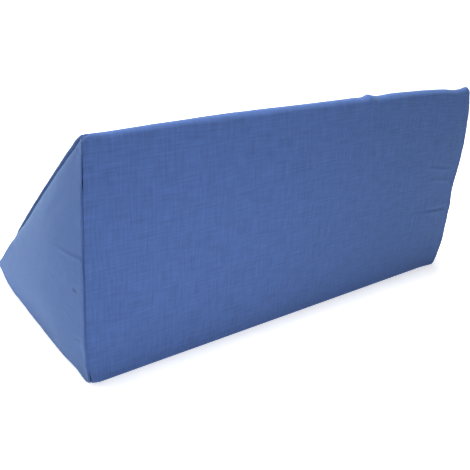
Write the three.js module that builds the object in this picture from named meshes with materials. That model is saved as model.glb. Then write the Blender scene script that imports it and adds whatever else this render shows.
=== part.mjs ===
// A triangle positioning pillow: a foam wedge in a sewn cotton cover, standing on its base.
// Units are millimetres. +X runs along the pillow from its near end to its far end, +Y from the
// upright front face back to the thin edge, and +Z is up. The origin is under the middle of the pillow.
// The cover is one cloth wrapped round the three long faces, with a triangular panel sewn in at each
// end. The wrap with its filling is one solid, and each end panel is a thin domed sheet set into its end.
import * as THREE from 'three';
import { mergeVertices } from 'three/addons/utils/BufferGeometryUtils.js';

// Driving dimensions of the filled cover
const LENGTH = 492; // from seam to seam, at the drawn-in corners
const FRONT_HEIGHT = 249; // the front face, up to where its plane meets the slope's
const BASE_DEPTH = 258; // the base, back to where its plane meets the slope's

// The long edges
const RIDGE_RADIUS = { middle: 7.5, end: 6 };
const TOE_RADIUS = 5; // the front lower edge
const TIP_RADIUS = 4; // the thin back edge
const TIP_LIFT = 10; // how high the underside of the thin edge sits above the floor
const TIP_UNDERCUT = 58; // how far short of the plane corner the underside leaves the floor
const TIP_TURN = -0.36 * Math.PI; // where the tip's round gives way to the underside

// How far two of the faces swell out past their planes, in the middle of the pillow and at its ends. The
// higher the power, the more of the pillow's length is as full as its middle.
const FRONT_CROWN = { middle: 3, end: 1 };
const SLOPE_CROWN = { middle: 7, end: 0.5 };
const FULLNESS_POWER = 4;

// The two ends. Each swells out past its drawn-in corners: frontBow gives that at shares of the front
// face's height, and the slope and the base have an even bow, stated at its middle. ridgeSag is how much
// lower the ridge is there than in the middle of the pillow. Ears are the nubs of cloth that stand out
// where three seams meet.
const ENDS = {
  near: {
    ridgeSag: 5,
    slopeBow: 4,
    baseBow: 0.5,
    ears: { ridge: 3.5, tip: 6, toe: 0 },
    frontBow: [
      { height: 0, out: 0 },
      { height: 0.08, out: 3.6 },
      { height: 0.2, out: 5.2 },
      { height: 0.5, out: 5 },
      { height: 0.75, out: 3.8 },
      { height: 0.92, out: 2.4 },
      { height: 1, out: 0 },
    ],
  },
  far: {
    ridgeSag: 9,
    slopeBow: 6,
    baseBow: 3,
    ears: { ridge: 5, tip: 5, toe: 3 },
    frontBow: [
      { height: 0, out: 0 },
      { height: 0.06, out: 6.5 },
      { height: 0.16, out: 10.5 },
      { height: 0.3, out: 9 },
      { height: 0.42, out: 6.2 },
      { height: 0.56, out: 9.5 },
      { height: 0.68, out: 11 },
      { height: 0.8, out: 9 },
      { height: 0.92, out: 5.5 },
      { height: 1, out: 0 },
    ],
  },
};
const BOW_REACH = 120; // how far along the wrap the swelling of an end is felt
const NEAR_FACE = 1; // a place this close to a face swells as that face does
const EAR_WIDTH = 7; // how far along the wrap an ear fades out

// The end panels and the seams that hold them
const PANEL_THICKNESS = 2;
const PANEL_DOME = 6; // at the middle of the panel
const SEAM_DEPTH = 2; // how far the cloth dips into the seam
const SEAM_RUN = 3.5; // how far along the wrap the dip reaches
const PANEL_RUN = 2.5; // how far across the panel it reaches
const PANEL_RISE = 1.5; // how far the panel stands up beside the seam
const CLEARANCE = 0.4; // between a panel and the filled wrap behind it

// The pinched pleat across the ridge, and the dip beside it
const PLEAT = { along: 75, height: 4.5, width: 7, dipAlong: 92, dip: 1.5, dipWidth: 10, reach: 26 };

// Steps round the section, along the wrap and across an end
const STEPS = { front: 18, ridge: 6, slope: 18, tip: 4, underside: 6, base: 12, toe: 3 };
const WRAP_STEPS = 26;
const PLEAT_STEPS = [-8, 0, 8]; // places of extra rings beside the pleat's crest
const SEAM_STEPS = 3;
const END_SHARES = [0, 0.3, 0.58, 0.78, 0.9]; // rings across an end, as shares of the section's size

// The section at one place along the pillow: samples of its outline, in order from the toe up the front
// face, over the ridge, down the slope, round the tip and forwards under the base. A place is [across, up].
function sectionOutline(height, frontCrown, slopeCrown, ridgeRadius) {
  const slope = Math.hypot(height, BASE_DEPTH);
  const down = new THREE.Vector2(BASE_DEPTH, -height).divideScalar(slope);
  const out = new THREE.Vector2(height, BASE_DEPTH).divideScalar(slope);
  const forwards = new THREE.Vector2(-1, 0);
  const ridge = new THREE.Vector2(0, height);

  const ridgeTangent = ridgeRadius / Math.tan(Math.atan2(BASE_DEPTH, height) / 2);
  const frontHigh = new THREE.Vector2(0, height - ridgeTangent);
  const slopeTop = ridge.clone().addScaledVector(down, ridgeTangent);

  const tipCentreUp = TIP_LIFT + TIP_RADIUS;
  const slopeRun = (height - tipCentreUp - TIP_RADIUS * out.y) / -down.y;
  const slopeEnd = ridge.clone().addScaledVector(down, slopeRun);
  const tipCentre = slopeEnd.clone().addScaledVector(out, -TIP_RADIUS);
  const tipEnd = new THREE.Vector2(Math.cos(TIP_TURN), Math.sin(TIP_TURN))
    .multiplyScalar(TIP_RADIUS)
    .add(tipCentre);
  const undersideTurn = new THREE.Vector2(tipEnd.x + tipEnd.y * Math.tan(TIP_TURN), 0);

  const frontLow = new THREE.Vector2(0, TOE_RADIUS);
  const baseBack = new THREE.Vector2(BASE_DEPTH - TIP_UNDERCUT, 0);
  const baseFront = new THREE.Vector2(TOE_RADIUS, 0);
  const crowned = (from, to, bulge, direction) =>
    new THREE.QuadraticBezierCurve(
      from, from.clone().lerp(to, 0.5).addScaledVector(direction, 2 * bulge), to);
  const arc = (centre, radius, from, to) =>
    new THREE.EllipseCurve(centre.x, centre.y, radius, radius, from, to, true);

  const sides = {
    front: crowned(frontLow, frontHigh, frontCrown, forwards),
    ridge: arc(new THREE.Vector2(ridgeRadius, frontHigh.y), ridgeRadius, Math.PI, out.angle()),
    slope: crowned(slopeTop, slopeEnd, slopeCrown, out),
    tip: arc(tipCentre, TIP_RADIUS, out.angle(), TIP_TURN),
    underside: new THREE.QuadraticBezierCurve(tipEnd, undersideTurn, baseBack),
    base: new THREE.LineCurve(baseBack, baseFront),
    toe: arc(new THREE.Vector2(TOE_RADIUS, TOE_RADIUS), TOE_RADIUS, -Math.PI / 2, -Math.PI),
  };
  return Object.entries(sides).flatMap(([side, curve]) =>
    Array.from({ length: STEPS[side] }, (_, step) => {
      const share = step / STEPS[side];
      return { side, share, place: curve.getPoint(share) };
    }));
}

const middleOutline = sectionOutline(
  FRONT_HEIGHT, FRONT_CROWN.middle, SLOPE_CROWN.middle, RIDGE_RADIUS.middle);
for (const end of Object.values(ENDS)) {
  end.outline = sectionOutline(
    FRONT_HEIGHT - end.ridgeSag, FRONT_CROWN.end, SLOPE_CROWN.end, RIDGE_RADIUS.end);
}
const ridgeTop = middleOutline[STEPS.front + STEPS.ridge / 2].place;

// The circle that touches all three faces. The rings across an end shrink towards its centre.
const insetRadius = (FRONT_HEIGHT + BASE_DEPTH - Math.hypot(FRONT_HEIGHT, BASE_DEPTH)) / 2;
const sectionCentre = new THREE.Vector2(insetRadius, insetRadius);
const rimShare = 1 - SEAM_DEPTH / insetRadius;

const bell = (distance, width) => Math.exp(-((distance / width) ** 2));
const evenBow = (share) => 4 * share * (1 - share);

// How far a place in the section lies from each of the three faces' planes.
function distances({ x: across, y: up }) {
  const toSlope = ((1 - across / BASE_DEPTH) * FRONT_HEIGHT - up)
    * (BASE_DEPTH / Math.hypot(FRONT_HEIGHT, BASE_DEPTH));
  return { front: across, slope: toSlope, base: up };
}

// The value of a table at a height, from the rows on both sides of it.
function fromTable(table, height) {
  const next = Math.max(1, table.findIndex((row) => row.height >= height));
  const [low, high] = [table[next - 1], table[next]];
  return THREE.MathUtils.mapLinear(height, low.height, high.height, low.out, high.out);
}

// How far an end swells out at a place in the section: the bows of the three faces' ends, each felt more
// the nearer its face is.
function bowAt(end, place) {
  const shareAcross = THREE.MathUtils.clamp(place.x / BASE_DEPTH, 0, 1);
  const bows = {
    front: fromTable(end.frontBow, THREE.MathUtils.clamp(place.y / FRONT_HEIGHT, 0, 1)),
    slope: end.slopeBow * evenBow(shareAcross),
    base: end.baseBow * evenBow(shareAcross),
  };
  let felt = 0;
  let total = 0;
  for (const [face, distance] of Object.entries(distances(place))) {
    const weight = 1 / Math.max(distance, NEAR_FACE) ** 2;
    felt += weight * bows[face];
    total += weight;
  }
  return felt / total;
}

// How far a panel's middle stands out past its rim, as a skin does that is held along three sides.
function panelDome(place) {
  const { front, slope, base } = distances(place);
  return PANEL_DOME * Math.max(0, (front * slope * base) / insetRadius ** 3);
}

// The surface at one sample of the outline, at a share of the section's size and a place along the
// pillow, with the swelling of the ends, the ears and the pleat worked in.
function surfacePlace(index, share, along) {
  const end = along < 0 ? ENDS.near : ENDS.far;
  const sample = end.outline[index];
  const toSeam = LENGTH / 2 - Math.abs(along);
  const fullness = Math.max(0, 1 - (2 * Math.abs(along) / LENGTH) ** FULLNESS_POWER);
  const place = sample.place.clone().lerp(middleOutline[index].place, fullness);
  const outwards = place.clone().sub(sectionCentre).normalize();

  const ear = (end.ears[sample.side] ?? 0) * evenBow(sample.share) * bell(toSeam, EAR_WIDTH);
  const pleat = bell(place.distanceTo(ridgeTop), PLEAT.reach)
    * (PLEAT.height * bell(along - PLEAT.along, PLEAT.width)
      - PLEAT.dip * bell(along - PLEAT.dipAlong, PLEAT.dipWidth));
  const rim = THREE.MathUtils.smoothstep(share, END_SHARES.at(-1), 1);
  place.addScaledVector(outwards, (ear + pleat) * rim);
  place.sub(sectionCentre).multiplyScalar(share).add(sectionCentre);

  const swelling = bowAt(end, place) * THREE.MathUtils.smoothstep(BOW_REACH - toSeam, 0, BOW_REACH)
    + (share < rimShare ? panelDome(place) : 0);
  return new THREE.Vector3(along + Math.sign(along) * swelling, place.x, Math.max(0, place.y));
}

// One end's rings from its middle out to the rim, each as [share of the section, place along].
function endRings(offset) {
  const shoulder = rimShare - PANEL_RUN / insetRadius;
  return [...END_SHARES, shoulder, (shoulder + rimShare) / 2, rimShare].map((share) => {
    const turn = Math.max(0, (share - shoulder) / (rimShare - shoulder));
    return new THREE.Vector2(share, LENGTH / 2 + offset + PANEL_RISE * Math.sqrt(1 - turn ** 2));
  });
}

// The rounding of the wrap out of its seam, from the rim of the end to the full section.
function seamRings() {
  const end = LENGTH / 2 - PANEL_THICKNESS - CLEARANCE;
  return Array.from({ length: SEAM_STEPS }, (_, step) => {
    const turn = ((step + 1) / SEAM_STEPS) * (Math.PI / 2);
    const share = 1 - (SEAM_DEPTH * (1 - Math.sin(turn))) / insetRadius;
    return new THREE.Vector2(share, end - SEAM_RUN * (1 - Math.cos(turn)));
  });
}

// A closed solid from a profile of such rings: a lathe turning, with each ring pushed to the outline.
function loft(profile) {
  const turned = new THREE.LatheGeometry(profile, middleOutline.length);
  const position = turned.getAttribute('position');
  for (let index = 0; index < position.count; index++) {
    const ring = profile[index % profile.length];
    const sample = Math.floor(index / profile.length) % middleOutline.length;
    position.setXYZ(index, ...surfacePlace(sample, ring.x, ring.y));
  }
  turned.deleteAttribute('normal');
  turned.deleteAttribute('uv');
  const solid = mergeVertices(turned);
  solid.computeVertexNormals();
  return solid;
}

const towardsNearEnd = ({ x, y }) => new THREE.Vector2(x, -y);

function filledWrap() {
  const farEnd = [...endRings(-PANEL_THICKNESS - CLEARANCE), ...seamRings()];
  const nearEnd = farEnd.map(towardsNearEnd).reverse();
  const reach = farEnd.at(-1).y;
  const even = Array.from({ length: WRAP_STEPS - 1 }, (_, step) =>
    THREE.MathUtils.lerp(-reach, reach, (step + 1) / WRAP_STEPS));
  const along = [...even, ...PLEAT_STEPS.map((step) => PLEAT.along + step)]
    .sort((a, b) => b - a)
    .map((place) => new THREE.Vector2(1, place));
  return loft([...farEnd, ...along, ...nearEnd]);
}

function endPanel(isFar) {
  const farProfile = [...endRings(0), ...endRings(-PANEL_THICKNESS).reverse()];
  return loft(isFar ? farProfile : farProfile.map(towardsNearEnd).reverse());
}

const coverCloth = { color: 0x4a6cb0, roughness: 0.9, metalness: 0 };

function part(name, geometry) {
  const mesh = new THREE.Mesh(geometry, new THREE.MeshStandardMaterial(coverCloth));
  mesh.name = name;
  return mesh;
}

const pillow = new THREE.Group();
pillow.add(part('filled_wrap', filledWrap()));
pillow.add(part('end_panel_near', endPanel(false)));
pillow.add(part('end_panel_far', endPanel(true)));

const box = new THREE.Box3().setFromObject(pillow);
pillow.position.set(-(box.min.x + box.max.x) / 2, -(box.min.y + box.max.y) / 2, -box.min.z);

const wedge = new THREE.Group();
wedge.add(pillow);
export default wedge;
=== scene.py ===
"""A triangle positioning pillow: a foam wedge in a sewn poly-cotton cover, standing on its base.

The cover is one cloth wrapped round the three long faces, with a triangular panel sewn in at each end.
The wrap starts from a copy of its solid, and each panel from the rim of its solid. Their edges are rolled
into the seams, a cloth simulation fills them out, and then the creases and puckers are pressed in.
"""
import math

import bmesh
import bpy
import numpy as np
from mathutils import Matrix, Vector, noise


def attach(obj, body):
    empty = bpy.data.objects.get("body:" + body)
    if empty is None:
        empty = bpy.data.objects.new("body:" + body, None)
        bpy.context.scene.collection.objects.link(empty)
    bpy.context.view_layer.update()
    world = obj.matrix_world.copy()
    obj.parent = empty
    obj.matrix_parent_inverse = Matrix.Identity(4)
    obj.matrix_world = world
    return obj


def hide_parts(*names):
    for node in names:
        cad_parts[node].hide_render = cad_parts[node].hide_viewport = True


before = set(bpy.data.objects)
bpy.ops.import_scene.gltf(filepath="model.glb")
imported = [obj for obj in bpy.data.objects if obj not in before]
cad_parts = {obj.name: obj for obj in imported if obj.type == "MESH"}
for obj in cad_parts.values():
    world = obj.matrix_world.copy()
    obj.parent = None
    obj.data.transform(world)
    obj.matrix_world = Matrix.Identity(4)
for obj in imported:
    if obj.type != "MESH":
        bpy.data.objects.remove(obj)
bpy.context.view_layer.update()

MM = 0.001
NEAR, FAR = -1, 1  # the two ends, as directions along X

# The section, as in the solids: the planes of its three faces and the circle that touches them all. The
# circle's centre is the middle of each end.
FRONT_HEIGHT = 249 * MM
BASE_DEPTH = 258 * MM
SLOPE_LENGTH = math.hypot(FRONT_HEIGHT, BASE_DEPTH)
INSET_RADIUS = (FRONT_HEIGHT + BASE_DEPTH - SLOPE_LENGTH) / 2
FRONT_OUT, BASE_OUT = Vector((-1, 0)), Vector((0, -1))  # out of each face, in Y and Z
SLOPE_OUT = Vector((FRONT_HEIGHT, BASE_DEPTH)) / SLOPE_LENGTH

# The solids' rings of faces, counted from the middle of an end
PANEL_SHOULDER = 5  # the last ring of a panel's flat, just inside its seam
RIM = 7  # the ring where panel and wrap meet
WRAP_FULL = 10  # the first ring of the wrap with the full section
POLE_EDGES = 40  # a vertex with more edges than this is the middle of an end
WELD = 0.01 * MM  # vertices closer than this are one

# How finely the wrap is cut before it is smoothed
WIDE_CELL = 12 * MM
FLOOR_LEVEL = 1 * MM
END_CUTS = 3
NEXT_CUTS = 1

# The rolled edges, as rows outwards from the full piece, in millimetres. Along is the distance from the
# rim's plane towards the middle of the pillow, and inwards the depth under the faces of the section. Lip is
# the share of the wrap's lip that the row stands out by, along the upper slope only.
WRAP_STOP = {"along": 3.5, "inwards": 0}
WRAP_EDGE = [
    {"along": 1.4, "inwards": 0.0, "lip": 0.5},
    {"along": 0.7, "inwards": 0.05, "lip": 0.9},
    {"along": 0.3, "inwards": 0.2, "lip": 1},
    {"along": 0.1, "inwards": 0.6, "lip": 1},
    {"along": 0.0, "inwards": 1.5, "lip": 1},
    {"along": 0.3, "inwards": 2.0, "lip": 1},
    {"along": 0.9, "inwards": 2.5, "lip": 0.9},
    {"along": 1.1, "inwards": 3.2},
    {"along": 3.0, "inwards": 7.0},
]
WRAP_LID = [{"along": 6.0, "inwards": 40.0}]
WRAP_LIP = 1 * MM  # how far the wrap's edge stands out along the upper slope
LIP_TURN = 8 * MM
PANEL_STOP = {"along": -1.1, "inwards": 2.9}
PANEL_EDGE = [
    {"along": -1.08, "inwards": 0.9},
    {"along": -1.0, "inwards": -0.1},
    {"along": -0.8, "inwards": -0.55},
    {"along": -0.45, "inwards": -0.85},
    {"along": 0.0, "inwards": -0.95},
    {"along": 0.45, "inwards": -0.65},
    {"along": 0.78, "inwards": 0.0},
    {"along": 0.93, "inwards": 0.9},
    {"along": 1.03, "inwards": 1.9},
    {"along": 1.13, "inwards": 3.0},
]
PANEL_LOWEST = 0.3 * MM  # the rolled edge lies flat on the floor
PANEL_STEPS = 40  # across each of a panel's three quarters
CORNER_DRAW = 1.25  # how much closer the steps lie at the corners
PANEL_DOME = 6 * MM
RIM_ROUNDS = 3
PANEL_CLOTH = 0.5 * MM
PANEL_SINK = 2.65 * MM  # how far the seams draw a panel's edge in from its solid's
TOP_SINK = 0.5 * MM  # and how much further at the top
SINK_REACH = 60 * MM
EDGE_SINK_REACH = 3 * MM  # on the base, and where the slope comes down to it
SLOPE_SINK = {"depth": 1.2 * MM, "reach": 25 * MM}  # how much further along the upper slope
SLOPE_DROP = 4.2 * MM  # how far a panel's edge lies under the wrap's, along the slope
SLOPE_REACH = 10 * MM
SLOPE_FADE = {"from": 40 * MM, "over": 90 * MM}  # what is along the upper slope fades out down it

# The simulation. The wrap starts smaller than its solid and is blown up to its size again.
FORM_ROUNDS = 3
FRAMES = 20
WRAP_SHRINK = 2 * MM
WRAP_PRESSURE = 0.25
WRAP_MOST = 4 * MM
PANEL_PRESSURE = 1
PANEL_MOST = 2 * MM
HELD_EDGE = 4 * MM
CLOTH_QUALITY = 5
BEND = math.cos(math.radians(14))  # past this turn from the three faces, the wrap is a bend and is held
SHRINK_EASE = 60 * MM

# Where a piece is drawn in or pushed out, in millimetres: a place, how far round it, and the move
WRAP_PULLS = [
    {"at": (-248, -120, 0), "reach": 13, "move": (0.9, 1.1, 1.4)},
    {"at": (-248, -114, 240), "reach": 14, "move": (1.1, 0, -0.3)},
    {"at": (70, -117, 243), "reach": 18, "move": (0, 0, -2.5)},  # the pleat in the ridge
    {"at": (73, -122, 232), "reach": 18, "move": (0, 1.6, 0)},
    {"at": (222, -113, 236), "reach": 22, "move": (0, 0, -0.8)},
]
NEAR_PANEL_PULLS = [
    {"at": (-248, -110, 0), "reach": 24, "move": (-1.4, 0, 0)},
    {"at": (-248, -120, 0), "reach": 9, "move": (1.2, 1.4, 1)},
    {"at": (-249, -118, 236), "reach": 11, "move": (-0.3, 0.3, -0.5)},
]
NEAR_TIP_PULLS = [
    {"at": (-250, 120, 5), "reach": 50, "move": (0, 0, 4)},
]
FAR_TOP_PULLS = [
    {"at": (252, -114, 240), "reach": 100, "move": (-4, 0, -0.2)},
    {"at": (245, -118, 232), "reach": 24, "move": (-2.2, 0, 0)},
    {"at": (239, -115, 236), "reach": 9, "move": (0, 0, 1.6)},
]

# Creases, as lines through real places in millimetres. Depth is how far the cloth sinks, and below nothing
# how far it stands up. Width is half the crease's own width. Beside is the opposite swell as a share of the
# depth, left and right of the line as it runs. Fade is the share of the length that each end fades over.
NEAR_PANEL_CREASES = [
    {
        "line": [(-66, 122), (-74, 125.5), (-83.5, 128.2), (-92.1, 129), (-100.9, 129.4), (-111.1, 130.4),
                 (-118.9, 131.6)],
        "depth": -0.6, "width": 1.5, "beside": (0.3, 0.4), "fade": (0.5, 0),
    },
    {
        "line": [(-44.5, 106.6), (-53.7, 102.5), (-65.9, 96.6), (-76.3, 90.1), (-86.8, 85.4), (-98.8, 80.4),
                 (-109.3, 74.8), (-114.5, 70.6)],
        "depth": 0.14, "width": 1.2, "beside": (0.3, 0.2), "fade": (0.3, 0.1),
    },
    {
        "line": [(-66.2, 79.6), (-78.3, 75.4), (-91.4, 70.7), (-101.3, 65.5), (-108.5, 61.5)],
        "depth": 0.14, "width": 1.3, "beside": (0.4, 0.2), "fade": (0.5, 0.2),
    },
    {
        "line": [(-100.7, 45), (-107.1, 47.6), (-114, 50.3)],
        "depth": 0.35, "width": 1.3, "beside": (0.2, 0.6), "fade": (0.4, 0),
    },
    {
        "line": [(-99.2, 220.2), (-108.9, 222.8), (-117.1, 224.1)],
        "depth": 0.3, "width": 1.3, "beside": (0.4, 0.2), "fade": (0.5, 0),
    },
]
FRONT_CREASES = [
    {
        "line": [(170, 147.5), (195.1, 143.5), (215.8, 138.5), (242, 133)],
        "depth": -0.4, "width": 2.2, "beside": (0.5, 0.1), "fade": (0.4, 0.2),
    },
    {
        "line": [(190, 130), (210.8, 126), (242, 119)],
        "depth": -0.25, "width": 2, "beside": (0.5, 0.1), "fade": (0.4, 0.2),
    },
    {
        "line": [(165, 92), (183.5, 89.9), (199.6, 88.3), (220.5, 85.9), (246, 83.4)],
        "depth": 0.4, "width": 2, "beside": (0.1, 0.7), "fade": (0.6, 0.1),
    },
    {
        "line": [(-166.6, 96.9), (-116.9, 99.9)],
        "depth": 0.15, "width": 2, "beside": (0, 0.5), "fade": (0.4, 0.4),
    },
    {
        "line": [(-23.8, 108.9), (124.5, 107.8), (150.9, 94.8)],
        "depth": 0.2, "width": 2, "beside": (0, 0.5), "fade": (0.3, 0.3),
    },
    {
        "line": [(70, 240), (71.5, 234)],
        "depth": 0.3, "width": 1.3, "beside": (0, 0), "fade": (0.2, 0.3),
    },
]
CORNER_CREASES = [
    {
        "line": [(-239.5, -116.3, 237.6), (-242, -117.2, 237.2), (-244.1, -118.3, 236.9),
                 (-245.1, -115.7, 234.4)],
        "depth": 1.3, "width": 0.9, "beside": (0, 0), "fade": (0.3, 0),
    },
    {
        "line": [(-243.9, -120, 234.7), (-238.9, -120.2, 233.7)],
        "depth": 0.6, "width": 1.1, "beside": (0, 0), "fade": (0.1, 0.4),
    },
    {
        "line": [(-243.2, -120.1, 232.8), (-245, -120.7, 231.1)],
        "depth": 0.5, "width": 0.8, "beside": (0, 0), "fade": (0.2, 0.2),
    },
    {
        "line": [(-244.4, -120.7, 225.8), (-247, -120.5, 225.3)],
        "depth": 0.5, "width": 0.8, "beside": (0, 0), "fade": (0.3, 0),
    },
    {
        "line": [(-247.4, -117.9, 11.9), (-246.5, -117.9, 8.1)],
        "depth": 0.8, "width": 1.8, "beside": (0, 0), "fade": (0.2, 0.2),
    },
]

# Puckers, where the stitches draw the cloth in along a seam
PUCKERS = {"pitch": 15, "depth": 0.55, "reach": 14}
FINE_PUCKERS = {"pitch": 5, "depth": 0.22, "reach": 6}
UNEVEN = [{"pitch": 80, "depth": 0.5}, {"pitch": 30, "depth": 0.12}]
CALM_FLOOR = 4 * MM  # they fade to nothing on the floor
PUCKER_END = 0.02  # where a pucker has faded to this share, it is left out

# Where in the noise each piece starts. The near panel has the wrap's place, so that their puckers meet.
NEAR_SEED, FAR_SEED = 3.1, 11.4
PUCKER_SHIFT, UNEVEN_SHIFT = 7.3, 31.7  # how far on the next kind of swell starts

# The swell beside a crease, as multiples of the crease's own half width
SWELL_AWAY, SWELL_WIDTH = 2.3, 1.2
FACES_FRONT = -0.5  # a normal with less than this in Y faces the front

CAMERA = {
    "place": (-445.0, -568.7, 389.4),
    "yaw": 38.13,
    "pitch": 25.34,
    "roll": 4.31,
    "lens": 50,
    "sensor": 36,
}


def coordinates(mesh, values="co"):
    """The places or the normals of a mesh's vertices, as rows of x, y and z."""
    flat = np.empty(len(mesh.vertices) * 3, np.float32)
    if values == "co":
        mesh.vertices.foreach_get("co", flat)
    else:
        mesh.vertex_normals.foreach_get("vector", flat)
    return flat.reshape(-1, 3).astype(float)


def move_to(mesh, places):
    """Puts a mesh's vertices at these places."""
    mesh.vertices.foreach_set("co", places.astype(np.float32).ravel())
    mesh.update()


def ease(share):
    """A smooth step from 0 to 1."""
    share = np.clip(share, 0, 1)
    return share * share * (3 - 2 * share)


def face_distances(across, up, centre):
    """How far a place in the section lies from the planes of the front, the slope and the base."""
    from_centre = ((across - centre[0]) * FRONT_HEIGHT + (up - centre[1]) * BASE_DEPTH) / SLOPE_LENGTH
    return INSET_RADIUS + across - centre[0], INSET_RADIUS - from_centre, INSET_RADIUS + up - centre[1]


def upper(height):
    """1 up the slope, fading to 0 towards the thin edge."""
    return ease((height - SLOPE_FADE["from"]) / SLOPE_FADE["over"])


def lip_at(place, centre):
    """How far the wrap's edge stands out at this place of the section: along the slope only."""
    front, slope, _ = face_distances(place.y, place.z, centre)
    return WRAP_LIP * float(ease((front - slope) / LIP_TURN + 0.5) * upper(place.z))


def ringed_copy(node, end):
    """A bmesh of the node's surface in quads, and its vertices as rings, from the middle of that end. The
    vertices of a ring are in order round the section, from under the base up the front face."""
    bm = bmesh.new()
    bm.from_mesh(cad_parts[node].data)
    bmesh.ops.remove_doubles(bm, verts=bm.verts, dist=WELD)
    number = bm.verts.layers.int.new("ring")
    bm.verts.layers.float.new("to_seam")
    bm.loops.layers.uv.new("cloth")
    pole = max((v for v in bm.verts if len(v.link_edges) > POLE_EDGES), key=lambda v: end * v.co.x)
    rings = []
    reached = set()
    ring = {pole}
    while ring:
        reached |= ring
        for vert in ring:
            vert[number] = len(rings)
        rings.append(sorted(ring, key=lambda v: math.atan2(v.co.y - pole.co.y, v.co.z - pole.co.z)))
        ring = {edge.other_vert(vert) for vert in ring for edge in vert.link_edges} - reached

    def mismatch(inner, outer, shift):
        pairs = zip(inner, outer[shift:] + outer[:shift])
        return sum((a.co.yz - pole.co.yz).angle(b.co.yz - pole.co.yz) for a, b in pairs)

    for inner, outer in zip(rings, rings[1:]):
        if len(inner) == len(outer):
            shift = min((-1, 0, 1), key=lambda turn: mismatch(inner, outer, turn))
            outer[:] = outer[shift:] + outer[:shift]
    rank = {vert: place for ring in rings if len(ring) > 1 for place, vert in enumerate(ring)}
    diagonals = [
        edge for edge in bm.edges
        if edge.verts[0][number] != edge.verts[1][number]
        and all(vert in rank for vert in edge.verts)
        and rank[edge.verts[0]] != rank[edge.verts[1]]
    ]
    bmesh.ops.dissolve_edges(bm, edges=diagonals, use_verts=False)
    return bm, rings


def halve_wide_cells(bm, rings, like):
    """Halves the cells that are wide round the section, in every ring alike, but for those on the floor."""
    wide = [
        rank for rank in range(len(like))
        if (like[rank].co - like[rank - 1].co).length > WIDE_CELL
        and max(like[rank].co.z, like[rank - 1].co.z) > FLOOR_LEVEL
    ]
    edges = [bm.edges.get((ring[rank - 1], ring[rank])) for ring in rings for rank in wide]
    bmesh.ops.subdivide_edges(bm, edges=edges, cuts=1)


def cut_between(bm, inner, cuts):
    """Cuts the edges that lead from one ring to the next into more."""
    number = bm.verts.layers.int["ring"]
    edges = [edge for edge in bm.edges if {vert[number] for vert in edge.verts} == {inner, inner + 1}]
    bmesh.ops.subdivide_edges(bm, edges=edges, cuts=cuts)


def roll_edge(bm, loop, centre, end, stop, rows):
    """Extrudes a closed loop of edges row by row, and returns its last row."""
    along, share = stop["along"] * MM, 1 - stop["inwards"] * MM / INSET_RADIUS
    lip = 0
    for row in rows:
        made = bmesh.ops.extrude_edge_only(bm, edges=loop)["geom"]
        verts = {part for part in made if isinstance(part, bmesh.types.BMVert)}
        loop = [
            part for part in made
            if isinstance(part, bmesh.types.BMEdge) and all(vert in verts for vert in part.verts)
        ]
        new_along, new_share = row["along"] * MM, 1 - row["inwards"] * MM / INSET_RADIUS
        new_lip = row.get("lip", 0)
        for vert in verts:
            vert.co.x -= end * (new_along - along - (new_lip - lip) * lip_at(vert.co, centre))
            vert.co.yz = centre + (vert.co.yz - centre) * (new_share / share)
        along, share, lip = new_along, new_share, new_lip
    return loop


def finished(bm, name):
    """The bmesh as a new object, smooth all over."""
    for face in bm.faces:
        face.smooth = True
        face.material_index = 0
    mesh = bpy.data.meshes.new(name)
    bm.to_mesh(mesh)
    bm.free()
    if "custom_normal" in mesh.attributes:
        mesh.attributes.remove(mesh.attributes["custom_normal"])
    piece = bpy.data.objects.new(name, mesh)
    bpy.context.scene.collection.objects.link(piece)
    return piece


def apply_modifiers(piece):
    """Makes what the modifiers give the piece's own mesh."""
    graph = bpy.context.evaluated_depsgraph_get()
    mesh = bpy.data.meshes.new_from_object(piece.evaluated_get(graph))
    mesh.name = piece.name
    piece.modifiers.clear()
    piece.data = mesh


def smooth_once(piece):
    """One level of subdivision."""
    smoothing = piece.modifiers.new("Smoothing", "SUBSURF")
    smoothing.levels = smoothing.render_levels = 1
    apply_modifiers(piece)


def keep_form(piece):
    """Moves the vertices so that the piece passes through their places once it is smoothed, because
    smoothing alone draws tight bends in."""
    wanted = coordinates(piece.data)
    places = wanted.copy()
    smoothing = piece.modifiers.new("Smoothing", "SUBSURF")
    smoothing.levels = smoothing.render_levels = 2
    for _ in range(FORM_ROUNDS):
        graph = bpy.context.evaluated_depsgraph_get()
        smoothed = piece.evaluated_get(graph)
        places += wanted - coordinates(smoothed.data)[:len(wanted)]
        move_to(piece.data, places)
        graph.update()
    piece.modifiers.clear()


def fill_out(piece, held, pressure, most):
    """Blows the piece up from inside as cloth, from where it is, with the held vertices fixed. No vertex
    moves further than most."""
    group = piece.vertex_groups.new(name="held")
    group.add([int(index) for index in np.flatnonzero(held)], 1.0, "REPLACE")
    start = coordinates(piece.data)
    cloth = piece.modifiers.new("Cloth", "CLOTH")
    cloth.settings.quality = CLOTH_QUALITY
    cloth.settings.use_pressure = True
    cloth.settings.uniform_pressure_force = pressure
    cloth.settings.vertex_group_mass = group.name
    cloth.settings.effector_weights.gravity = 0
    cloth.point_cache.frame_end = FRAMES
    for number in range(1, FRAMES + 1):
        bpy.context.scene.frame_set(number)
    apply_modifiers(piece)
    piece.vertex_groups.clear()
    move = coordinates(piece.data) - start
    length = np.linalg.norm(move, axis=1, keepdims=True)
    move_to(piece.data, start + move * np.minimum(1, most / np.maximum(length, 1e-9)))
    bpy.context.scene.frame_set(1)


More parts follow.
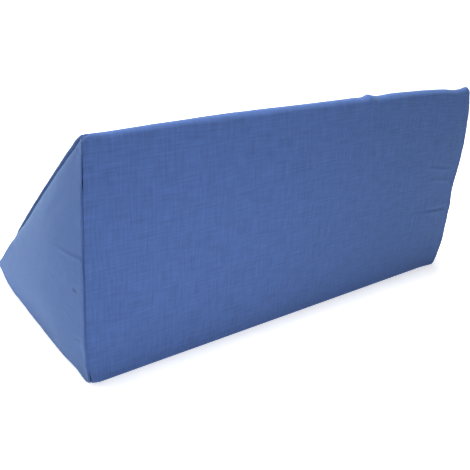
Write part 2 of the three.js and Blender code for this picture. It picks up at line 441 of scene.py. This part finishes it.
def wrap():
    """The cloth round the three long faces, open at its ends, and the middle of its section."""
    bm, rings = ringed_copy("filled_wrap", NEAR)
    centre = rings[0][0].co.yz
    to_seam = bm.verts.layers.float["to_seam"]
    cloth_map = bm.loops.layers.uv["cloth"]
    full = rings[WRAP_FULL:-WRAP_FULL]
    for ring in full:
        for near, vert, far in zip(rings[RIM], ring, rings[-1 - RIM]):
            vert[to_seam] = min(vert.co.x - near.co.x, far.co.x - vert.co.x)
    middle = rings[len(rings) // 2]
    steps = [(b.co - a.co).length for a, b in zip(middle, middle[1:] + middle[:1])]
    around = np.concatenate([[0], np.cumsum(steps)])
    rank = {vert: place for ring in full for place, vert in enumerate(ring)}
    for face in bm.faces:
        if all(vert in rank for vert in face.verts):
            last = {rank[vert] for vert in face.verts} == {0, len(middle) - 1}
            for corner in face.loops:
                place = rank[corner.vert]
                corner[cloth_map].uv = (corner.vert.co.x, around[-1 if last and place == 0 else place])
    halve_wide_cells(bm, full, middle)
    number = bm.verts.layers.int["ring"]
    last_full = len(rings) - 1 - WRAP_FULL
    spare = [vert for vert in bm.verts if not WRAP_FULL <= vert[number] <= last_full]
    bmesh.ops.delete(bm, geom=spare, context="VERTS")
    for inner in (WRAP_FULL, last_full - 1):
        cut_between(bm, inner, END_CUTS)
    for inner in (WRAP_FULL + 1, last_full - 2):
        cut_between(bm, inner, NEXT_CUTS)
    for end in (NEAR, FAR):
        loop = [edge for edge in bm.edges if edge.is_boundary and edge.verts[0].co.x * end > 0]
        roll_edge(bm, loop, centre, end, WRAP_STOP, WRAP_EDGE)
    return finished(bm, "wrap_cloth"), centre


def smooth_curve(points, rounds):
    """A smooth closed line through the points. Each round halves its steps."""
    for _ in range(rounds):
        before, after, beyond = (np.roll(points, turn, axis=0) for turn in (1, -1, -2))
        halfway = (9 * (points + after) - before - beyond) / 16
        points = np.stack([points, halfway], axis=1).reshape(-1, 3)
    return points


def end_panel(node, name, end):
    """A triangular panel, its rim rolled into the seam. It is made of three quarters, each a grid that is
    stretched between a corner, the middles of the two sides there, and the middle of the panel."""
    source, rings = ringed_copy(node, end)
    centre = rings[0][0].co.copy()
    rim = smooth_curve(np.array([vert.co for vert in rings[PANEL_SHOULDER]]), RIM_ROUNDS)
    source.free()
    steps = np.linalg.norm(np.roll(rim, -1, axis=0) - rim, axis=1)
    length = steps.sum()
    reached = np.concatenate([[0], np.cumsum(steps)])
    closed = np.concatenate([rim, rim[:1]])

    def at(distance):
        distance = distance % length
        return np.stack([np.interp(distance, reached, values) for values in closed.T], axis=-1)

    middle = np.array(centre)
    middle[0] -= end * PANEL_DOME
    directions = [
        (-INSET_RADIUS, -INSET_RADIUS),
        (-INSET_RADIUS, FRONT_HEIGHT - INSET_RADIUS),
        (BASE_DEPTH - INSET_RADIUS, -INSET_RADIUS),
    ]
    corners = [reached[np.argmax((rim[:, 1:] - middle[1:]) @ np.array(way))] for way in directions]
    bm = bmesh.new()
    bm.loops.layers.uv.new("cloth")
    for index, corner in enumerate(corners):
        following = corner + ((corners[(index + 1) % 3] - corner) % length) / 2
        previous = corner - ((corner - corners[index - 1]) % length) / 2
        verts = bmesh.ops.create_grid(bm, x_segments=PANEL_STEPS, y_segments=PANEL_STEPS, size=0.5)["verts"]
        u, v = (np.array([vert.co[axis] + 0.5 for vert in verts])[:, None] for axis in (0, 1))
        near_u = at(corner + (following - corner) * u[:, 0] ** CORNER_DRAW)
        near_v = at(corner + (previous - corner) * v[:, 0] ** CORNER_DRAW)
        side_u, side_v = at(following), at(previous)
        far_u = side_v + u * (middle - side_v)
        far_v = side_u + v * (middle - side_u)
        tied = (1 - u) * (1 - v) * at(corner) + u * (1 - v) * side_u + (1 - u) * v * side_v + u * v * middle
        places = (1 - v) * near_u + v * far_u + (1 - u) * near_v + u * far_v - tied
        for vert, place in zip(verts, places):
            vert.co = place
    bmesh.ops.remove_doubles(bm, verts=bm.verts, dist=WELD)
    loop = [edge for edge in bm.edges if edge.is_boundary]
    roll_edge(bm, loop, centre.yz, end, PANEL_STOP, PANEL_EDGE)
    flat_from = PANEL_STOP["inwards"] * MM
    for vert in bm.verts:
        front, slope, base = face_distances(vert.co.y, vert.co.z, centre.yz)
        by_front = ease(1 - (front - flat_from) / SINK_REACH)
        by_slope = ease(1 - (slope - flat_from) / SINK_REACH) * upper(vert.co.z)
        at_edge = ease(1 - min(slope, base) / EDGE_SINK_REACH)
        sink = 1 - (1 - by_front) * (1 - by_slope) * (1 - at_edge)
        dome = max(0, front) * max(0, slope) * max(0, base) / INSET_RADIUS ** 3
        depth = PANEL_SINK + TOP_SINK * ease(vert.co.z / FRONT_HEIGHT)
        behind_slope = SLOPE_SINK["depth"] * ease(1 - slope / SLOPE_SINK["reach"]) * upper(vert.co.z)
        vert.co.x += end * float(PANEL_DOME * dome - depth * sink - behind_slope)
        vert.co.yz -= SLOPE_OUT * SLOPE_DROP * float(ease(1 - slope / SLOPE_REACH) * upper(vert.co.z))
        vert.co.z = max(vert.co.z, PANEL_LOWEST)
    bmesh.ops.recalc_face_normals(bm, faces=bm.faces)
    if sum(face.normal.x * face.calc_area() for face in bm.faces) * end < 0:
        bmesh.ops.reverse_faces(bm, faces=bm.faces)
    cloth_map = bm.loops.layers.uv["cloth"]
    for face in bm.faces:
        for corner in face.loops:
            corner[cloth_map].uv = corner.vert.co.yz
    return finished(bm, name)


def pressed(places, crease):
    """How far a crease sinks each place, in metres. Places have as many coordinates as its line's."""
    line = np.array(crease["line"], float) * MM
    width = crease["width"] * MM
    steps = np.linalg.norm(np.diff(line, axis=0), axis=1)
    reached = np.concatenate([[0], np.cumsum(steps)])
    nearest = np.full(len(places), np.inf)
    side = np.zeros(len(places))
    share = np.zeros(len(places))
    for start, stop, before, step in zip(line, line[1:], reached, steps):
        way = (stop - start) / step
        from_start = places - start
        along = np.clip(from_start @ way, 0, step)
        offset = from_start - along[:, None] * way
        distance = np.linalg.norm(offset, axis=1)
        closer = distance < nearest
        nearest = np.where(closer, distance, nearest)
        share = np.where(closer, (before + along) / reached[-1], share)
        if len(way) == 2:
            side = np.where(closer, np.sign(way[0] * offset[:, 1] - way[1] * offset[:, 0]), side)
    left, right = crease["beside"]
    from_swell = (nearest - SWELL_AWAY * width) / (SWELL_WIDTH * width)
    swell = np.where(side > 0, left, right) * np.exp(-(from_swell ** 2))
    strength = np.ones(len(places))
    for fade, run in zip(crease["fade"], (share, 1 - share)):
        if fade:
            strength *= ease(run / fade)
    return crease["depth"] * MM * strength * (np.exp(-((nearest / width) ** 2)) - swell)


def noise_at(places, pitch, seed):
    """Smooth chance values between about -1 and 1, one for each place. Pitch is the size of a swell."""
    scaled = places / (pitch * MM)
    return np.array([noise.noise(Vector(place) + Vector((seed, 0, 0))) for place in scaled])


def puckered(places, to_seam, centre, seed):
    """How far the puckers of a seam sink each place. They run square to the seam, and fade from it."""
    sunk = np.zeros(len(places))
    distances = face_distances(places[:, 1], places[:, 2], centre)
    for face, way in zip(distances, (FRONT_OUT, SLOPE_OUT, BASE_OUT)):
        on_face = places.copy()
        on_face[:, 0] = 0
        on_face[:, 1:] += face[:, None] * np.array(way)
        from_seam = face if to_seam is None else np.hypot(to_seam, face)
        for sort, kind in enumerate((PUCKERS, FINE_PUCKERS)):
            fading = np.exp(-from_seam / (kind["reach"] * MM))
            chosen = fading > PUCKER_END
            values = noise_at(on_face[chosen], kind["pitch"], seed + PUCKER_SHIFT * sort)
            sunk[chosen] += kind["depth"] * MM * fading[chosen] * values
    return sunk


def press_creases(piece, centre, to_seam, sides, pulls, seed):
    """Presses the creases, the puckers and a slight unevenness into the piece. Sides are rows of the
    creases, the coordinates that they are drawn in, and which vertices they can reach."""
    places = coordinates(piece.data)
    normals = coordinates(piece.data, "normal")
    sunk = puckered(places, to_seam, centre, seed)
    for sort, kind in enumerate(UNEVEN):
        sunk += kind["depth"] * MM * noise_at(places, kind["pitch"], seed + UNEVEN_SHIFT * sort)
    for creases, axes, reach in sides:
        for crease in creases:
            sunk[reach] += pressed(places[reach][:, axes], crease)
    sunk *= ease(places[:, 2] / CALM_FLOOR)
    places -= normals * sunk[:, None]
    for pull in pulls:
        distance = np.linalg.norm(places - np.array(pull["at"]) * MM, axis=1)
        places += np.array(pull["move"]) * MM * ease(1 - distance / (pull["reach"] * MM))[:, None]
    move_to(piece.data, places)


def close_ends(piece, centre):
    """Closes the wrap's two ends, which are hidden behind the end panels."""
    bm = bmesh.new()
    bm.from_mesh(piece.data)
    for end in (NEAR, FAR):
        loop = [edge for edge in bm.edges if edge.is_boundary and edge.verts[0].co.x * end > 0]
        loop = roll_edge(bm, loop, centre, end, WRAP_EDGE[-1], WRAP_LID)
        middle = loop[0].verts[0].co.copy()
        middle.yz = centre
        made = bmesh.ops.extrude_edge_only(bm, edges=loop)["geom"]
        verts = [part for part in made if isinstance(part, bmesh.types.BMVert)]
        bmesh.ops.pointmerge(bm, verts=verts, merge_co=middle)
    for face in bm.faces:
        face.smooth = True
    bm.to_mesh(piece.data)
    bm.free()


def seam_distance(piece):
    """How far each vertex of the wrap lies from its end seams."""
    values = np.empty(len(piece.data.vertices), np.float32)
    piece.data.attributes["to_seam"].data.foreach_get("value", values)
    return values.astype(float)


wrap_cloth, section_centre = wrap()
near_panel = end_panel("end_panel_near", "near_end_cloth", NEAR)
far_panel = end_panel("end_panel_far", "far_end_cloth", FAR)

# The wrap is filled out between its seams, its long bends and its flat base
for piece in (wrap_cloth, near_panel, far_panel):
    keep_form(piece)
smooth_once(wrap_cloth)
from_seam = seam_distance(wrap_cloth)
places = coordinates(wrap_cloth.data)
normals = coordinates(wrap_cloth.data, "normal")
along_face = np.max([normals[:, 1:] @ np.array(way) for way in (FRONT_OUT, SLOPE_OUT, BASE_OUT)], axis=0)
held = (places[:, 2] < FLOOR_LEVEL) | (from_seam < HELD_EDGE) | (along_face < BEND)
faces = np.sort(face_distances(places[:, 1], places[:, 2], section_centre), axis=0)
shrink = WRAP_SHRINK * ease(from_seam / SHRINK_EASE) * ease(faces[1] / SHRINK_EASE)
shrink *= places[:, 2] > FLOOR_LEVEL
move_to(wrap_cloth.data, places - normals * shrink[:, None])
fill_out(wrap_cloth, held, WRAP_PRESSURE, WRAP_MOST)
smooth_once(wrap_cloth)

for panel in (near_panel, far_panel):
    places = coordinates(panel.data)
    inside = np.min(face_distances(places[:, 1], places[:, 2], section_centre), axis=0)
    fill_out(panel, inside < HELD_EDGE, PANEL_PRESSURE, PANEL_MOST)
    smooth_once(panel)

places = coordinates(wrap_cloth.data)
normals = coordinates(wrap_cloth.data, "normal")
in_front = normals[:, 1] < FACES_FRONT
everywhere = np.ones(len(places), bool)
wrap_sides = [(FRONT_CREASES, [0, 2], in_front), (CORNER_CREASES, [0, 1, 2], everywhere)]
wrap_pulls = WRAP_PULLS + NEAR_TIP_PULLS + FAR_TOP_PULLS
press_creases(wrap_cloth, section_centre, seam_distance(wrap_cloth), wrap_sides, wrap_pulls, NEAR_SEED)
everywhere = np.ones(len(near_panel.data.vertices), bool)
near_sides = [(NEAR_PANEL_CREASES, [1, 2], everywhere)]
near_pulls = NEAR_PANEL_PULLS + NEAR_TIP_PULLS
press_creases(near_panel, section_centre, None, near_sides, near_pulls, NEAR_SEED)
press_creases(far_panel, section_centre, None, [], FAR_TOP_PULLS, FAR_SEED)
close_ends(wrap_cloth, section_centre)
for panel in (near_panel, far_panel):
    thickness = panel.modifiers.new("Thickness", "SOLIDIFY")
    thickness.thickness = PANEL_CLOTH
    thickness.offset = -1
    apply_modifiers(panel)


def linear(shade):
    """A colour written as sRGB hex, as the linear values that a shader takes."""
    parts = [int(shade[at:at + 2], 16) / 255 for at in (1, 3, 5)]
    return [part / 12.92 if part <= 0.04045 else ((part + 0.055) / 1.055) ** 2.4 for part in parts] + [1]


def add(tree, kind, inputs, **settings):
    """Adds a node. Each input is a value or the output of another node."""
    node = tree.nodes.new("ShaderNode" + kind)
    for name, value in settings.items():
        setattr(node, name, value)
    for name, value in inputs.items():
        if isinstance(value, bpy.types.NodeSocket):
            tree.links.new(value, node.inputs[name])
        else:
            node.inputs[name].default_value = value
    return node


# The weave. Real threads are about 0.25 mm apart, too fine for the picture, and are drawn 1 mm apart.
THREAD_PITCH = 1.0 * MM
WAVE_TURN = 2 * math.pi / 20  # a band's size in a wave texture of scale 1
SLUB_WIDTH = 1.9 * MM
SLUB_LENGTH = 26 * MM
MOTTLE_SIZE = 11 * MM
MOTTLE_SHARE = 0.5  # of the slubs' own strength
WRAP_UNEVENNESS = 0.45
PANEL_UNEVENNESS = 0.2  # the end panels look smoother
SLUB_RELIEF = 0.1 * MM
WEAVE_RELIEF = 0.15 * MM

# Small dark stains, in millimetres. Those on the panel are twice as wide as they are high.
STAINS = [
    {"at": (-253, -107.5, 97.5), "radius": 2.1, "flat": 0.5, "darker": 0.45},
    {"at": (-253, -109.5, 107.5), "radius": 2.6, "flat": 0.5, "darker": 0.12},
    {"at": (-101.2, -123, 153.8), "radius": 1.1, "flat": 1, "darker": 0.25},
    {"at": (33.9, -122.3, 196.7), "radius": 1.1, "flat": 1, "darker": 0.2},
]
STAIN_CORE, STAIN_RIM = 0.4, 1.3  # where a stain starts to fade and where it ends, as shares of its radius


def poly_cotton(name, unevenness):
    """Poly-cotton plain weave: a matt mid-blue cloth with fine uneven threads both ways, and a soft pale
    sheen where it turns away from the eye. Unevenness is how much the threads differ in tone."""
    material = bpy.data.materials.new(name)
    material.use_nodes = True
    tree = material.node_tree
    shader = tree.nodes["Principled BSDF"]
    cloth = add(tree, "UVMap", {}, uv_map="cloth").outputs["UV"]
    threads = [
        add(tree, "TexWave", {"Vector": cloth, "Scale": WAVE_TURN / THREAD_PITCH}, bands_direction=way)
        for way in ("X", "Y")
    ]
    centred = [
        add(tree, "Math", {0: wave.outputs["Fac"], 1: 0.5}, operation="SUBTRACT").outputs[0]
        for wave in threads
    ]
    weave = add(tree, "Math", {0: centred[0], 1: centred[1]}, operation="MULTIPLY").outputs[0]
    slubs = []
    for scale in ((1 / SLUB_LENGTH, 1 / SLUB_WIDTH, 1), (1 / SLUB_WIDTH, 1 / SLUB_LENGTH, 1)):
        stretched = add(tree, "Mapping", {"Vector": cloth, "Scale": scale}).outputs["Vector"]
        slubs.append(add(tree, "TexNoise", {"Vector": stretched, "Scale": 1, "Detail": 2}).outputs["Fac"])
    both = add(tree, "Math", {0: slubs[0], 1: slubs[1]}, operation="ADD").outputs[0]
    mottle = add(tree, "TexNoise", {"Vector": cloth, "Scale": 1 / MOTTLE_SIZE, "Detail": 3}).outputs["Fac"]
    uneven = add(tree, "Math", {0: mottle, 1: MOTTLE_SHARE, 2: both}, operation="MULTIPLY_ADD").outputs[0]
    uneven = add(tree, "Math", {0: uneven, 1: 1 + MOTTLE_SHARE / 2}, operation="SUBTRACT").outputs[0]
    tone = add(tree, "Math", {0: uneven, 1: unevenness, 2: 1}, operation="MULTIPLY_ADD").outputs[0]
    place = add(tree, "TexCoord", {}).outputs["Object"]
    for spot in STAINS:
        squeeze = Vector((1, spot["flat"], 1))
        squeezed = add(tree, "VectorMath", {0: place, 1: squeeze}, operation="MULTIPLY").outputs[0]
        middle = Vector(spot["at"]) * squeeze * MM
        away = add(tree, "VectorMath", {0: squeezed, 1: middle}, operation="DISTANCE")
        radius = spot["radius"] * MM
        edge = {"Value": away.outputs["Value"], 1: STAIN_CORE * radius, 2: STAIN_RIM * radius,
                3: 1 - spot["darker"], 4: 1}
        clear = add(tree, "MapRange", edge, interpolation_type="SMOOTHSTEP").outputs["Result"]
        tone = add(tree, "Math", {0: tone, 1: clear}, operation="MULTIPLY").outputs[0]
    colour = add(tree, "VectorMath", {0: linear("#3b5387")[:3], "Scale": tone}, operation="SCALE").outputs[0]
    low = add(tree, "Bump", {"Height": both, "Distance": SLUB_RELIEF, "Strength": 1}).outputs["Normal"]
    fine = add(tree, "Bump", {"Height": weave, "Distance": WEAVE_RELIEF, "Strength": 1, "Normal": low})
    tree.links.new(colour, shader.inputs["Base Color"])
    tree.links.new(fine.outputs["Normal"], shader.inputs["Normal"])
    shader.inputs["Roughness"].default_value = 0.9
    shader.inputs["Specular IOR Level"].default_value = 0.2
    shader.inputs["Sheen Weight"].default_value = 0.16
    shader.inputs["Sheen Roughness"].default_value = 0.45
    shader.inputs["Sheen Tint"].default_value = linear("#cef9ff")
    return material


def plain(name, shade, glow, far_glow, fade):
    """A matt material in one colour that glows a little, and more far from the middle."""
    material = bpy.data.materials.new(name)
    material.use_nodes = True
    tree = material.node_tree
    shader = tree.nodes["Principled BSDF"]
    shader.inputs["Base Color"].default_value = linear(shade)
    shader.inputs["Roughness"].default_value = 1
    shader.inputs["Specular IOR Level"].default_value = 0
    shader.inputs["Emission Color"].default_value = linear(shade)
    place = add(tree, "TexCoord", {}).outputs["Object"]
    away = add(tree, "VectorMath", {0: place}, operation="LENGTH").outputs["Value"]
    growth = {"Value": away, 1: fade[0], 2: fade[1], 3: glow, 4: far_glow}
    strength = add(tree, "MapRange", growth, interpolation_type="SMOOTHSTEP").outputs["Result"]
    tree.links.new(strength, shader.inputs["Emission Strength"])
    return material


wrap_weave = poly_cotton("poly_cotton_wrap", WRAP_UNEVENNESS)
panel_weave = poly_cotton("poly_cotton_end_panel", PANEL_UNEVENNESS)
for piece, weave in ((wrap_cloth, wrap_weave), (near_panel, panel_weave), (far_panel, panel_weave)):
    piece.data.materials.clear()
    piece.data.materials.append(weave)
    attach(piece, "root")
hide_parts("filled_wrap")
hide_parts("end_panel_near")
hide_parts("end_panel_far")

# The room
LIGHTS = [
    {"name": "left", "place": (-1.2, 0.8, 1), "size": 0.8, "watts": 17.5},
    {"name": "above", "place": (-0.05, 0.1, 1.2), "size": 0.5, "watts": 25},
    {"name": "behind", "place": (1, 1.9, 1.6), "size": 1.6, "watts": 35},
    {"name": "front", "place": (-0.2, -0.5, 0.16), "size": 0.25, "watts": 0.8},
]
AIM = (0, 0, 0.1)
FLOOR_REACH = 12  # how far the floor runs from the pillow each way, in metres
FLOOR_GLOW = 0.6  # the floor is lit from below a little, so that it is plain white as in the photo
FAR_GLOW = 1.1  # and more where the lights don't reach
FAR_FLOOR = (1.2, 3.5)  # where the glow grows, in metres from the pillow
WORLD_STRENGTH = 0.02


def add_camera():
    """The camera, at the photo's angle."""
    data = bpy.data.cameras.new("camera")
    data.lens = CAMERA["lens"]
    data.sensor_width = CAMERA["sensor"]
    camera = bpy.data.objects.new("camera", data)
    turn = (
        Matrix.Rotation(-math.radians(CAMERA["yaw"]), 4, "Z")
        @ Matrix.Rotation(math.radians(90 - CAMERA["pitch"]), 4, "X")
        @ Matrix.Rotation(math.radians(CAMERA["roll"]), 4, "Z")
    )
    camera.matrix_world = Matrix.Translation(Vector(CAMERA["place"]) * MM) @ turn
    bpy.context.scene.collection.objects.link(camera)
    bpy.context.scene.camera = camera


def add_light(name, place, size, watts):
    """A soft square light that looks at the pillow."""
    data = bpy.data.lights.new(name, "AREA")
    data.energy = watts
    data.size = size
    light = bpy.data.objects.new(name, data)
    light.visible_camera = False
    turn = (Vector(place) - Vector(AIM)).to_track_quat("Z", "Y").to_matrix().to_4x4()
    light.matrix_world = Matrix.Translation(place) @ turn
    bpy.context.scene.collection.objects.link(light)


def add_floor():
    """A plain pale floor, wide enough to fill the picture."""
    bm = bmesh.new()
    bmesh.ops.create_grid(bm, x_segments=1, y_segments=1, size=FLOOR_REACH)
    mesh = bpy.data.meshes.new("floor")
    bm.to_mesh(mesh)
    bm.free()
    floor = bpy.data.objects.new("floor", mesh)
    floor.data.materials.append(plain("floor_white", "#fcfcfc", FLOOR_GLOW, FAR_GLOW, FAR_FLOOR))
    bpy.context.scene.collection.objects.link(floor)


add_camera()
add_floor()
for light in LIGHTS:
    add_light(**light)
world = bpy.data.worlds.new("studio")
world.use_nodes = True
world.node_tree.nodes["Background"].inputs["Color"].default_value = (1, 1, 1, 1)
world.node_tree.nodes["Background"].inputs["Strength"].default_value = WORLD_STRENGTH
bpy.context.scene.world = world
bpy.context.scene.view_settings.view_transform = "Standard"
